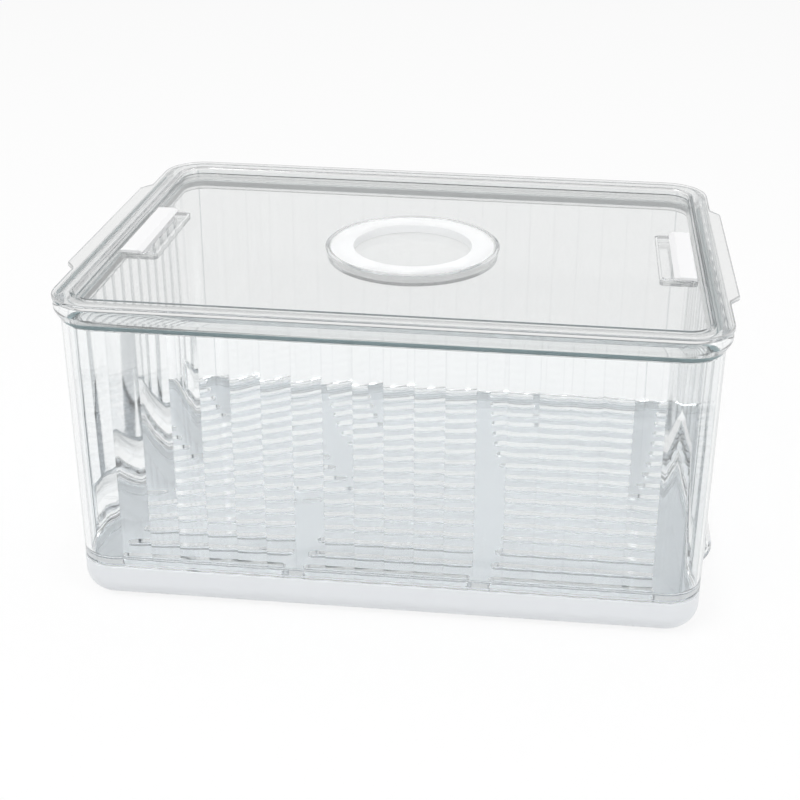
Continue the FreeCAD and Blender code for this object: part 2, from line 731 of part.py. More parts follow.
def buildDialCap():
    """Clear plate of the dial."""
    body = newBody("dial_cap")
    wellAtPlate = f"(Sizes.wellRadius - Sizes.wellTaper * ({panelTop} - {plateUnder}) / Sizes.wellDepth)"
    edge = f"({wellAtPlate} - Sizes.dialGap)"
    section = [("0", dialFace), (edge, dialFace), (edge, plateUnder), ("0", plateUnder)]
    turn(body, "Revolution", "plate", section)
    return body


def buildDialRing():
    """White band under the dial's clear plate, that stands on the well's floor."""
    body = newBody("dial_ring")
    outer = "(Sizes.wellRadius - Sizes.wellTaper - Sizes.bandGap)"
    lower = f"({wellLevel} + Sizes.seatGap)"
    section = [("Sizes.bandInner", plateUnder), (outer, plateUnder), (outer, lower), ("Sizes.bandInner", lower)]
    turn(body, "Revolution", "band", section)
    return body


def buildShutter(name, side):
    """White shutter that slides over a vent slot; side is 1 at +X and -1 at -X."""
    body = newBody(name)
    outer = f"({stepX} - Sizes.shutterMargin)"
    inner = f"({outer} - Sizes.shutterWidth)"
    seat = f"({panelTop} + Sizes.seatGap)"
    face = f"({panelTop} + Sizes.shutterRise)"
    footOuter = f"({trackOuter} - Sizes.stemGap)"
    footInner = f"({footOuter} - Sizes.stemWidth)"
    head = newSketch(body, "head_section", "XZ_Plane")
    section = [
        (outer, seat),
        (outer, face),
        (f"({inner} + Sizes.shutterBevel)", face),
        (inner, f"{seat} + Sizes.shutterLip"),
        (inner, seat),
    ]
    polygon(head, [(f"{side} * {x}", height) for x, height in section])
    span(body, "head", head, "Sizes.shutterLength")
    roundEdges(body, "head_round", "Sizes.shutterRound", lambda edge: liesAt(edge, face))
    stem = newSketch(body, "stem_section", "XZ_Plane")
    section = [
        (footOuter, f"{trackLevel} + Sizes.stemGap"),
        (footOuter, seat),
        (footInner, seat),
        (footInner, f"{trackLevel} + Sizes.stemGap"),
    ]
    polygon(stem, [(f"{side} * {x}", height) for x, height in section])
    span(body, "stem", stem, "Sizes.trackLength - 2 * Sizes.stemGap")
    stemEnd = number("Sizes.trackLength / 2 - Sizes.stemGap")
    bevelEdges(
        body,
        "stem_corners",
        "Sizes.trackCorner",
        lambda edge: isNear(edge.BoundBox.XLength + edge.BoundBox.YLength, 0)
        and isNear(abs(edge.BoundBox.YMax), stemEnd),
    )
    return body


nodes = [
    buildDripTray(),
    buildBin(),
    buildLid(),
    buildLidSeal(),
    buildDialCap(),
    buildDialRing(),
    buildShutter("slider_left", -1),
    buildShutter("slider_right", 1),
]
doc.recompute()

for item in doc.Objects:
    if "Invalid" in item.State or "Error" in item.State:
        raise RuntimeError(f"{item.Label} was not built: {item.State}")

os.makedirs("parts", exist_ok=True)
for node in nodes:
    shape = node.Shape
    if shape.isNull() or not shape.isValid() or len(shape.Solids) != 1:
        raise RuntimeError(f"{node.Label} is not one valid solid")
    shape.exportStep(f"parts/{node.Label}.step")
    print(f"{node.Label}: {shape.Volume / 1000:.1f} cm3, {len(shape.Faces)} faces")
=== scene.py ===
import math

import bmesh
import bpy
from mathutils import Matrix, Vector


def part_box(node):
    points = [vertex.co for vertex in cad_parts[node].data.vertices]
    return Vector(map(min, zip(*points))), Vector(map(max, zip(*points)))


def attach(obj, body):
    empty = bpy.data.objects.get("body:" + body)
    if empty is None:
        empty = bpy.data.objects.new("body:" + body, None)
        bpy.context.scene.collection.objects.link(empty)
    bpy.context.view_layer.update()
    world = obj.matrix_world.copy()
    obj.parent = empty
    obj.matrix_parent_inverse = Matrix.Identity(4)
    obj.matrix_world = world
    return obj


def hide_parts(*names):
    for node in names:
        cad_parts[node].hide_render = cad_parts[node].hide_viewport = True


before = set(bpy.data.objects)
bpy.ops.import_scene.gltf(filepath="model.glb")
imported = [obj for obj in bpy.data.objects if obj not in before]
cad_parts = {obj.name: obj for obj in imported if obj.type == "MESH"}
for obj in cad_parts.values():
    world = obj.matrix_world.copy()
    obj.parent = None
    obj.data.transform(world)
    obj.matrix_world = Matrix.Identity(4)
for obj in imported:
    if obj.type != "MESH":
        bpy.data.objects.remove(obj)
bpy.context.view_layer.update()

# A clear fluted produce keeper on a white drip tray. Lengths are in millimetres until they meet a mesh.
mm = 0.001


# Nodes

class Wire:  # one output of a node; Python's operators on it add Math nodes
    def __init__(self, nodes, socket):
        self.nodes = nodes
        self.socket = socket

    def output(self, name):
        return Wire(self.nodes, self.socket.node.outputs[name])

    def __add__(self, other):
        return self.nodes.math("ADD", self, other)

    def __sub__(self, other):
        return self.nodes.math("SUBTRACT", self, other)

    def __rsub__(self, other):
        return self.nodes.math("SUBTRACT", other, self)

    def __mul__(self, other):
        return self.nodes.math("MULTIPLY", self, other)

    def __truediv__(self, other):
        return self.nodes.math("DIVIDE", self, other)

    def __pow__(self, other):
        return self.nodes.math("POWER", self, other)

    __radd__ = __add__
    __rmul__ = __mul__


class NodeMaker:
    def __init__(self, tree):
        self.tree = tree
        tree.nodes.clear()

    def add(self, kind, settings=None, inputs=None, output=0):
        node = self.tree.nodes.new(kind)
        for name, value in (settings or {}).items():
            if name == "stops":
                while len(node.color_ramp.elements) < len(value):
                    node.color_ramp.elements.new(1)
                for stop, (place, shade) in zip(node.color_ramp.elements, value):
                    stop.position = place
                    stop.color = (shade, shade, shade, 1)
            else:
                setattr(node, name, value)
        for name, value in (inputs or {}).items():
            for single in value if isinstance(value, list) else [value]:
                if isinstance(single, Wire):
                    self.tree.links.new(single.socket, node.inputs[name])
                else:
                    node.inputs[name].default_value = single
        return Wire(self, node.outputs[output]) if node.outputs else None

    def math(self, operation, *values):
        inputs = dict(enumerate(values))
        return self.add("ShaderNodeMath", {"operation": operation}, inputs)


# Materials

plastic = {
    "ior": 1.5,
    "binTint": (0.97, 0.978, 0.98, 1),
    "binShade": (0.952, 0.963, 0.966, 1),
    "lidTint": (0.85, 0.853, 0.85, 1),
    "lidShade": (0.835, 0.841, 0.839, 1),
    "clearRoughness": 0.02,
    # painted shade: the colour of the dark lines drawn on the bin's flute seams
    "seamShadeTint": (0.50, 0.53, 0.55, 1),
    "edgeStart": 0.70,  # where the darker look of a steeply seen surface begins: partly the longer path through the plastic, partly painted shade
    "edgeShadeTint": (0.26, 0.29, 0.30, 1),
    "bounceLimit": 2.5,  # past this glossy depth a ray caught in the plastic goes straight on
    "flowSize": 22,  # waves of the moulding per metre
    "lidFlowShare": 0.7,  # the lid's and the dial's waves beside the bin's
    "cloudShare": 3,  # clouds of tint for each wave
    "flowBump": 0.02,
    "flowDistance": 0.002,
    "roughnessSpread": 0.02,
    "dialTint": (0.985, 0.988, 0.986, 1),
    "dialShade": (0.97, 0.975, 0.973, 1),
    "shadowTint": (0.955, 0.962, 0.965, 1),
    "caughtTint": (0.85, 0.86, 0.865, 1),
}

white = {
    "trayTint": (0.765, 0.785, 0.805, 1),
    "trayShade": (0.74, 0.76, 0.785, 1),
    "trimTint": (0.88, 0.88, 0.885, 1),
    "trimShade": (0.86, 0.86, 0.87, 1),
    "roughness": 0.32,
    "roughnessSpread": 0.12,
    "coat": 0.15,
    "coatRoughness": 0.12,
    "cloudSize": 18,
    "grainSize": 900,
    "grainDetail": 2,
    "grainBump": 0.03,
    "grainDistance": 0.0004,
}

sealing = {
    "tint": (0.16, 0.235, 0.25, 1),
    "shade": (0.12, 0.185, 0.20, 1),
    "innerPaintedLight": (0.60, 0.64, 0.65, 1),  # painted light, not the seal's own colour: chosen by trial, to lighten the band seen through the lid
    "roughness": 0.4,
    "roughnessSpread": 0.1,
    "grainSize": 260,
    "grainBump": 0.06,
    "grainDistance": 0.0004,
}


def newMaterial(name):
    material = bpy.data.materials.new(name)
    material.use_nodes = True
    return material, NodeMaker(material.node_tree)


def mixColours(nodes, factor, first, second):
    return nodes.add("ShaderNodeMix", {"data_type": "RGBA"}, {0: factor, 6: first, 7: second}, 2)


def grainBump(nodes, height, strength, distance):
    return nodes.add("ShaderNodeBump", None, {"Strength": strength, "Distance": distance, "Height": height})


def objectNoise(nodes, size, detail=3):
    place = nodes.add("ShaderNodeTexCoord", output="Object")
    return nodes.add("ShaderNodeTexNoise", None, {"Vector": place, "Scale": size, "Detail": detail})


def paintedSeamShade(nodes):
    # Painted shade: a dark line on each upright seam between two flutes, fading to nought beside it,
    # standing in for the dark lines that refraction draws along the seams.
    place = nodes.add("ShaderNodeTexCoord", output="Object")
    along = nodes.add("ShaderNodeSeparateXYZ", None, {"Vector": place})
    awayX = nodes.math("ABSOLUTE", along)
    awayY = nodes.math("ABSOLUTE", along.output("Y"))
    pitchX = 2 * straightX * mm / bowl["longSeams"]
    pitchY = 2 * straightY * mm / bowl["shortSeams"]
    cornerX = awayX - straightX * mm
    cornerY = awayY - straightY * mm
    turn = nodes.math("ARCTAN2", cornerY, cornerX)
    lines = []
    for distance, inside in (
        (nodes.math("PINGPONG", awayX, pitchX / 2), nodes.math("LESS_THAN", cornerX, 0.0)),
        (nodes.math("PINGPONG", awayY, pitchY / 2), nodes.math("LESS_THAN", cornerY, 0.0)),
    ):
        lines.append(nodes.math("MAXIMUM", 1 - distance / (bowl["seamWidth"] * mm), 0.0) * inside)
    zone = (bowl["lidCorner"] - bowl["wallZone"]) * mm
    onLong = nodes.math("GREATER_THAN", cornerY, zone)
    onShort = nodes.math("GREATER_THAN", cornerX, zone)
    longLines = lines[0] * onLong * bowl["longSeamShare"]
    side = nodes.math("MAXIMUM", longLines, lines[1] * onShort * bowl["shortSeamShare"])
    bend = math.radians(45 - bowl["seamTurn"])
    fromSeam = nodes.math("ABSOLUTE", nodes.math("ABSOLUTE", turn - math.pi / 4) - bend)
    arc = fromSeam * (bowl["lidCorner"] * mm) / (bowl["seamWidth"] * mm)
    inCorner = nodes.math("GREATER_THAN", nodes.math("MINIMUM", cornerX, cornerY), 0.0)
    corner = nodes.math("MAXIMUM", 1 - arc, 0.0) * inCorner
    return nodes.math("MAXIMUM", side, corner)


def clearPlastic(name, tint, shade, flow, seamShaded=False):
    material, nodes = newMaterial(name)
    waves = objectNoise(nodes, flow)
    clouds = objectNoise(nodes, flow * plastic["cloudShare"])
    colour = mixColours(nodes, clouds, tint, shade)
    # painted shade lines on the flute seams
    if seamShaded:
        colour = mixColours(nodes, paintedSeamShade(nodes), colour, plastic["seamShadeTint"])
    # Darker where a surface is seen steeply: partly the longer path through the plastic, partly painted
    # shade for the dark outlines along rims and edges.
    facing = nodes.add("ShaderNodeLayerWeight", None, {"Blend": 0.5}, output="Facing")
    edge = (facing - plastic["edgeStart"]) / (1 - plastic["edgeStart"])
    colour = mixColours(nodes, edge, colour, plastic["edgeShadeTint"])
    bump = grainBump(nodes, waves, plastic["flowBump"], plastic["flowDistance"])
    body = nodes.add("ShaderNodeBsdfPrincipled", None, {
        "Base Color": colour,
        "Roughness": plastic["clearRoughness"] + clouds * plastic["roughnessSpread"],
        "IOR": plastic["ior"],
        "Transmission Weight": 1.0,
        "Normal": bump,
    })
    path = nodes.add("ShaderNodeLightPath", output="Is Shadow Ray")
    caught = nodes.math("GREATER_THAN", path.output("Glossy Depth"), plastic["bounceLimit"])
    dimmed = mixColours(nodes, path, plastic["caughtTint"], plastic["shadowTint"])
    passing = nodes.add("ShaderNodeBsdfTransparent", None, {"Color": dimmed})
    straight = nodes.math("MAXIMUM", path, caught)
    mix = nodes.add("ShaderNodeMixShader", None, {0: straight, 1: body, 2: passing})
    nodes.add("ShaderNodeOutputMaterial", None, {"Surface": mix})
    return material


def whitePlastic(name, tint, shade):
    material, nodes = newMaterial(name)
    clouds = objectNoise(nodes, white["cloudSize"])
    grain = objectNoise(nodes, white["grainSize"], white["grainDetail"])
    bump = grainBump(nodes, grain, white["grainBump"], white["grainDistance"])
    body = nodes.add("ShaderNodeBsdfPrincipled", None, {
        "Base Color": mixColours(nodes, clouds, tint, shade),
        "Roughness": white["roughness"] + (grain - 0.5) * white["roughnessSpread"],
        "Coat Weight": white["coat"],
        "Coat Roughness": white["coatRoughness"],
        "Normal": bump,
    })
    nodes.add("ShaderNodeOutputMaterial", None, {"Surface": body})
    return material


def softSeal(name):
    material, nodes = newMaterial(name)
    grain = objectNoise(nodes, sealing["grainSize"])
    bump = grainBump(nodes, grain, sealing["grainBump"], sealing["grainDistance"])
    # painted light: the seal's inward faces are paled, to lighten the band seen through the lid
    inside = nodes.add("ShaderNodeAttribute", {"attribute_name": "inside"}, output="Fac")
    outer = mixColours(nodes, grain, sealing["tint"], sealing["shade"])
    body = nodes.add("ShaderNodeBsdfPrincipled", None, {
        "Base Color": mixColours(nodes, inside, outer, sealing["innerPaintedLight"]),
        "Roughness": sealing["roughness"] + grain * sealing["roughnessSpread"],
        "Normal": bump,
    })
    nodes.add("ShaderNodeOutputMaterial", None, {"Surface": body})
    return material


lidFlow = plastic["flowSize"] * plastic["lidFlowShare"]
lidPlastic = clearPlastic("clear_lid_plastic", plastic["lidTint"], plastic["lidShade"], lidFlow)
trayWhite = whitePlastic("tray_white_plastic", white["trayTint"], white["trayShade"])
trimWhite = whitePlastic("trim_white_plastic", white["trimTint"], white["trimShade"])
sealRubber = softSeal("seal_soft_plastic")
dialPlastic = clearPlastic("clear_dial_plastic", plastic["dialTint"], plastic["dialShade"], lidFlow)
print("materials made")


# Making pieces

finishing = {
    "weld": 1e-6,  # metres
    "flatAngle": 0.6,  # degrees, as the angles below
    "bevelAngle": 40,
    "bevelSegments": 2,
    "binSmooth": 12,
    "softSmooth": 35,
    "faceWeight": 90,
}

def newObject(name, mesh):
    piece = bpy.data.objects.new(name, mesh)
    bpy.context.scene.collection.objects.link(piece)
    return piece


def applied(piece):  # bake the modifiers of a piece into its mesh
    graph = bpy.context.evaluated_depsgraph_get()
    mesh = bpy.data.meshes.new_from_object(piece.evaluated_get(graph))
    piece.modifiers.clear()
    piece.data = mesh
    mesh.name = piece.name


def smooth(piece, degrees):
    # Shade across shallow edges only, and keep the look of the large faces flat.
    piece.data.shade_smooth()
    piece.data.set_sharp_from_angle(angle=math.radians(degrees))
    weighted = piece.modifiers.new("flatten", "WEIGHTED_NORMAL")
    weighted.weight = finishing["faceWeight"]
    weighted.keep_sharp = True
    applied(piece)


def place(piece, node, body, slot, material):
    piece.data.materials.clear()
    piece.data.materials.append(material)
    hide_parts(node)
    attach(piece, body)


# Bin: rings of one outline, from the locating neck round the rim to the floor

bowl = {
    "footInset": 4.5,
    "rimInset": 0.3,
    "wallInsetTop": 3,
    "wallThick": 2.4,
    "lidCorner": 21,
    "rimHeight": 9.8,
    "rimTaper": 5.4,
    "rimSwell": 1.2,  # how far the widest line of the rim lies above its slope
    "rimTopRound": 1.5,
    "edgeRound": 0.4,
    "roundSteps": 8,
    "neckInset": 7.3,
    "neckWall": 1.8,
    "neckDepth": 5,
    "floorThick": 2.4,
    "floorRound": 3,
    "longSeams": 19,
    "shortSeams": 13,
    "seamTurn": 23,  # degrees from a straight wall to a corner's seam
    "fluteDepth": 0.6,
    "seamWidth": 0.55,  # half width of the painted shade line on a seam
    "longSeamShare": 0.12,  # how strong the painted seam shade of the long walls is beside that of the corners
    # how strong the painted seam shade of the short walls is beside that of the corners
    "shortSeamShare": 0.45,
    "cornerShare": 0.4,  # how deep the flutes of the corners are beside those of the walls
    "wallZone": 9,  # the painted seam shade stays this near to the lid's outline
    "fluteSteps": 8,
    "gripStep": 1.25,  # height between rings across the grips
}

grips = {
    "width": 150,
    "slope": 6,
    "rise": 1,
    "height": 29,
    "noseRise": 8,
    "nose": 5,
    "rootDepth": 1.2,
    "fluteFade": 0.6,  # a wall pushed out this far has lost its flutes
    "facing": 0.999,  # only what faces along X this squarely is pushed out
    "reach": 5.5,
    "blend": 0.12,
}

drains = {
    "columns": 3,
    "endMargin": 18.6,
    "sideMargin": 4.5,
    "web": 9,
    "pitch": 11.9,
    "width": 4.6,
    "endShare": 0.4999,  # radius of a slot's ends beside its width
    "above": 1,  # the cutters start this far over the floor and end as far under it
    "roundSteps": 6,
}

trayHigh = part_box("drip_tray")[1]
binLow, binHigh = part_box("bin")
halfLength = trayHigh[0] / mm + bowl["footInset"]
halfDepth = trayHigh[1] / mm + bowl["footInset"]
footLevel = binLow[2] / mm + bowl["neckDepth"]
rimLevel = binHigh[2] / mm
rimUnder = rimLevel - bowl["rimHeight"]
floorLevel = footLevel + bowl["floorThick"]
straightX = halfLength - bowl["lidCorner"]
straightY = halfDepth - bowl["lidCorner"]
gripLow = footLevel + grips["rise"]
gripHigh = gripLow + grips["height"]


def outlineStations():
    # Along the outline's straights and corner centres: base point, outward direction,
    # flute phase and flute strength.
    steps = bowl["fluteSteps"]
    turn = bowl["seamTurn"]
    corners = [(straightX, -straightY), (straightX, straightY)]
    corners += [(-straightX, straightY), (-straightX, -straightY)]
    stations = []
    for side in range(4):
        start = Vector(corners[side - 1])
        end = Vector(corners[side])
        angle = math.radians(90 * side - 90)
        outward = Vector((math.cos(angle), math.sin(angle)))
        seams = bowl["shortSeams"] if side % 2 else bowl["longSeams"]
        for step in range(seams * steps):
            base = start.lerp(end, step / (seams * steps))
            stations.append((base, outward, 0.5 + step / steps, 1))
        for step in range(2 * steps):
            phase = step / steps
            bend = turn * phase * 2
            if phase > 0.5:
                bend = turn + (90 - 2 * turn) * (phase - 0.5)
            if phase > 1.5:
                bend = 90 - turn * (2 - phase) * 2
            corner = angle + math.radians(bend)
            outward = Vector((math.cos(corner), math.sin(corner)))
            stations.append((end, outward, 0.5 + phase, bowl["cornerShare"]))
    return stations


def wallInset(level):
    share = (level - footLevel) / (rimLevel - footLevel)
    return bowl["footInset"] + share * (bowl["wallInsetTop"] - bowl["footInset"])


def quarterTurn(inset, level, radius, start):
    # Rings round a quarter circle of the profile; angles run from the outward direction upwards.
    rings = []
    for step in range(bowl["roundSteps"] + 1):
        angle = math.radians(start + 90 * step / bowl["roundSteps"])
        rings.append((inset - radius * math.cos(angle), level + radius * math.sin(angle)))
    return rings


def wallLevels(low, high):
    levels = [low]
    while levels[-1] < gripHigh + bowl["gripStep"]:
        levels.append(levels[-1] + bowl["gripStep"])
    return [*levels, 0.5 * (levels[-1] + high), high]


def binProfile():
    # Each ring: inset, level, share of the flutes, and how deep in the wall it lies (None off the wall).
    neckIn = bowl["neckInset"] + bowl["neckWall"]
    neckEnd = footLevel - bowl["neckDepth"]
    edge = bowl["edgeRound"]
    rings = [(neckIn, footLevel, 0, None), (neckIn, neckEnd, 0, None)]
    rings += [(bowl["neckInset"], neckEnd, 0, None), (bowl["neckInset"], footLevel, 0, None)]
    rings += [(bowl["footInset"] + edge, footLevel, 1, None)]
    rings += [(wallInset(level), level, 1, 0) for level in wallLevels(footLevel + edge, rimUnder)]
    belly = wallInset(rimUnder) - bowl["rimInset"]
    notch = bowl["rimTopRound"]
    slope = bowl["rimTaper"] + bowl["rimSwell"]
    crown = bowl["rimHeight"] - slope
    lower = []
    upper = []
    for step in range(bowl["roundSteps"] + 1):
        angle = math.pi / 2 * step / bowl["roundSteps"]
        share = step / bowl["roundSteps"]
        lower.append((wallInset(rimUnder) - belly * math.sin(angle) ** 2, rimUnder + slope * share))
        inset = bowl["rimInset"] + notch * (1 - math.cos(angle))
        upper.append((inset, rimUnder + slope + crown * math.sin(angle)))
    inner = bowl["wallInsetTop"] + bowl["wallThick"]
    lip = quarterTurn(inner - edge, rimLevel - edge, -edge, -90)
    rings += [(inset, level, 0, None) for inset, level in lower + upper + lip]
    radius = bowl["floorRound"]
    thick = bowl["wallThick"]
    levels = wallLevels(floorLevel + radius, rimLevel - 3 * edge)
    rings += [(wallInset(level) + thick, level, 0, thick) for level in reversed(levels)]
    centre = wallInset(floorLevel) + thick + radius
    bottom = quarterTurn(centre, floorLevel + radius, radius, 0)
    rings += [(inset, 2 * (floorLevel + radius) - level, 0, None) for inset, level in bottom[1:]]
    return rings


def floatAttribute(mesh, name, values):
    layer = mesh.attributes.new(name, "FLOAT", "POINT")
    layer.data.foreach_set("value", values)


def binRings():
    stations = outlineStations()
    rings = binProfile()
    points = []
    phases = []
    fluting = []
    outward = []
    depths = []
    onWall = []
    for inset, level, share, depth in rings:
        for base, direction, phase, strength in stations:
            point = base + direction * (bowl["lidCorner"] - inset)
            points.append(Vector((point.x, point.y, level)) * mm)
            phases.append(phase)
            fluting.append(share * strength)
            outward += [direction.x, direction.y, 0]
            depths.append((depth or 0) * mm)
            onWall.append(0 if depth is None else 1)
    count = len(stations)
    faces = [list(reversed(range(count)))]
    for ring in range(len(rings) - 1):
        for step in range(count):
            here = ring * count + step
            beside = ring * count + (step + 1) % count
            faces.append([here, beside, beside + count, here + count])
    last = (len(rings) - 1) * count
    faces.append([last + step for step in range(count)])
    mesh = bpy.data.meshes.new("bin_rings")
    mesh.from_pydata(points, [], faces)
    floatAttribute(mesh, "phase", phases)
    floatAttribute(mesh, "fluting", fluting)
    floatAttribute(mesh, "depth", depths)
    floatAttribute(mesh, "onWall", onWall)
    layer = mesh.attributes.new("outward", "FLOAT_VECTOR", "POINT")
    layer.data.foreach_set("vector", outward)
    mesh.validate()
    return mesh


mouldInputs = {
    "Flute Depth": bowl["fluteDepth"] * mm,
    "Grip Root": (halfLength - bowl["footInset"] - grips["rootDepth"]) * mm,
    "Grip Reach": (grips["reach"] + grips["rootDepth"]) * mm,
    "Grip Half Width": grips["width"] / 2 * mm,
    "Grip Slope": grips["slope"] * mm,
    "Grip Low": gripLow * mm,
    "Grip High": gripHigh * mm,
    "Nose Low": (footLevel + grips["noseRise"]) * mm,
    "Nose High": (footLevel + grips["noseRise"] + grips["nose"]) * mm,
    "Grip Blend": grips["blend"],
    "Slot Length": 0.0,
    "Slot Width": drains["width"] * mm,
    "Slot Web": drains["web"] * mm,
    "Slot Pitch": drains["pitch"] * mm,
    "Slot Columns": drains["columns"],
    "Slot Rows": 0,
    "Slot Level": (floorLevel + drains["above"]) * mm,
    "Slot Depth": (bowl["floorThick"] + 2 * drains["above"]) * mm,
}
floorHalfX = halfLength - bowl["footInset"] - bowl["wallThick"]
floorHalfY = halfDepth - bowl["footInset"] - bowl["wallThick"]
slotField = 2 * (floorHalfX - drains["endMargin"])
slotWebs = (drains["columns"] - 1) * drains["web"]
mouldInputs["Slot Length"] = (slotField - slotWebs) / drains["columns"] * mm
mouldInputs["Slot Rows"] = 2 * int((floorHalfY - drains["sideMargin"]) / drains["pitch"]) + 1


def mouldTree(material):
    # Presses the flutes and finger grips into the rings and cuts the drain slots through the floor.
    tree = bpy.data.node_groups.new("mouldBin", "GeometryNodeTree")
    face = tree.interface
    face.new_socket("Geometry", in_out="INPUT", socket_type="NodeSocketGeometry")
    for name, value in mouldInputs.items():
        kind = "NodeSocketInt" if isinstance(value, int) else "NodeSocketFloat"
        face.new_socket(name, in_out="INPUT", socket_type=kind)
    face.new_socket("Material", in_out="INPUT", socket_type="NodeSocketMaterial")
    face.new_socket("Geometry", in_out="OUTPUT", socket_type="NodeSocketGeometry")
    nodes = NodeMaker(tree)
    given = nodes.add("NodeGroupInput", output="Geometry")

    def attribute(name, kind="FLOAT"):
        return nodes.add("GeometryNodeInputNamedAttribute", {"data_type": kind}, {"Name": name})

    def lower(first, second, blend):
        return nodes.math("SMOOTH_MIN", first, second, blend)

    position = nodes.add("GeometryNodeInputPosition")
    across = nodes.add("ShaderNodeSeparateXYZ", None, {"Vector": position})
    level = across.output("Z")
    outward = attribute("outward", "FLOAT_VECTOR")
    outwardX = nodes.add("ShaderNodeSeparateXYZ", None, {"Vector": outward})
    rising = (level - given.output("Grip Low")) / (given.output("Nose Low") - given.output("Grip Low"))
    falling = (given.output("Grip High") - level) / (given.output("Grip High") - given.output("Nose High"))
    sideways = nodes.math("ABSOLUTE", across.output("Y"))
    ending = (given.output("Grip Half Width") - sideways) / given.output("Grip Slope")
    blend = given.output("Grip Blend")
    nose = nodes.math("MAXIMUM", lower(lower(lower(rising, falling, blend), ending, blend), 1.0, blend), 0.0)
    away = nodes.math("ABSOLUTE", across)
    gripPlane = given.output("Grip Root") - attribute("depth") + nose * given.output("Grip Reach")
    facing = nodes.math("GREATER_THAN", nodes.math("ABSOLUTE", outwardX), grips["facing"])
    push = nodes.math("MAXIMUM", gripPlane - away, 0.0) * attribute("onWall") * facing
    phase = nodes.math("FRACT", attribute("phase"))
    seam = (phase * 2 - 1) ** 2
    fading = nodes.math("MAXIMUM", 1 - push * (1 / (grips["fluteFade"] * mm)), 0.0)
    offset = push - seam * attribute("fluting") * given.output("Flute Depth") * fading
    move = nodes.add("ShaderNodeVectorMath", {"operation": "SCALE"}, {0: outward, "Scale": offset})
    pressed = nodes.add("GeometryNodeSetPosition", None, {"Geometry": given, "Offset": move})

    slotSize = {
        "Width": given.output("Slot Length"),
        "Height": given.output("Slot Width"),
    }
    frameCurve = nodes.add("GeometryNodeCurvePrimitiveQuadrilateral", {"mode": "RECTANGLE"}, slotSize)
    rounded = nodes.add("GeometryNodeFilletCurve", {"mode": "POLY"}, {
        "Curve": frameCurve,
        "Radius": given.output("Slot Width") * drains["endShare"],
        "Count": drains["roundSteps"],
    })
    plate = nodes.add("GeometryNodeFillCurve", {"mode": "NGONS"}, {"Curve": rounded})
    down = nodes.add("ShaderNodeCombineXYZ", None, {"Z": given.output("Slot Depth") * -1})
    sides = nodes.add("GeometryNodeExtrudeMesh", {"mode": "FACES"}, {
        "Mesh": plate,
        "Offset": down,
        "Individual": False,
    })
    lid = nodes.add("GeometryNodeFlipFaces", None, {"Mesh": plate})
    solid = nodes.add("GeometryNodeJoinGeometry", None, {"Geometry": [sides, lid]})
    weld = {"Geometry": solid, "Distance": finishing["weld"]}
    closed = nodes.add("GeometryNodeMergeByDistance", None, weld)
    turned = nodes.add("GeometryNodeFlipFaces", None, {"Mesh": closed})
    columns = given.output("Slot Columns")
    rows = given.output("Slot Rows")
    grid = nodes.add("GeometryNodeMeshGrid", None, {
        "Size X": (columns - 1) * (given.output("Slot Length") + given.output("Slot Web")),
        "Size Y": (rows - 1) * given.output("Slot Pitch"),
        "Vertices X": columns,
        "Vertices Y": rows,
    })
    lift = nodes.add("ShaderNodeCombineXYZ", None, {"Z": given.output("Slot Level")})
    spots = nodes.add("GeometryNodeSetPosition", None, {"Geometry": grid, "Offset": lift})
    slots = nodes.add("GeometryNodeInstanceOnPoints", None, {"Points": spots, "Instance": turned})
    cutters = nodes.add("GeometryNodeRealizeInstances", None, {"Geometry": slots})
    cut = nodes.add("GeometryNodeMeshBoolean", {"operation": "DIFFERENCE", "solver": "EXACT"}, {
        "Mesh 1": pressed,
        "Mesh 2": cutters,
    })
    whole = nodes.add("GeometryNodeRealizeInstances", None, {"Geometry": cut})
    coat = {"Geometry": whole, "Material": given.output("Material")}
    coated = nodes.add("GeometryNodeSetMaterial", None, coat)
    nodes.add("NodeGroupOutput", None, {"Geometry": coated})
    return tree


def setInputs(modifier, values):
    for item in modifier.node_group.interface.items_tree:
        if item.in_out == "INPUT" and item.name in values:
            modifier[item.identifier] = values[item.name]


def makeBin():
    tint = plastic["binTint"]
    binPlastic = clearPlastic("clear_bin_plastic", tint, plastic["binShade"], plastic["flowSize"], True)
    piece = newObject("clear_bin", binRings())
    modifier = piece.modifiers.new("mould", "NODES")
    modifier.node_group = mouldTree(binPlastic)
    setInputs(modifier, {**mouldInputs, "Material": binPlastic})
    applied(piece)
    smooth(piece, finishing["binSmooth"])
    place(piece, "bin", "bin", "clear_bin", binPlastic)
    print("bin", len(piece.data.polygons), "faces")


makeBin()


# The other mouldings: the CAD's form with softened edges

bandAir = 0.08  # under the dial's plate, so that light reaches the white band

softened = {
    "drip_tray": ("white_tray", "tray", "tray_white", trayWhite, 0.5),
    "lid": ("clear_lid", "lid", "clear_lid", lidPlastic, 0.25),
    "lid_seal": ("lid_seal_ring", "lid", "seal_blue_grey", sealRubber, 0.2),
    "dial_cap": ("dial_plate", "dial", "clear_lid", dialPlastic, 0.3),
    "dial_ring": ("dial_band", "dial", "white_trim", trimWhite, 0.3),
    "slider_left": ("shutter_left", "left_shutter", "white_trim", trimWhite, 0.25),
    "slider_right": ("shutter_right", "right_shutter", "white_trim", trimWhite, 0.25),
}


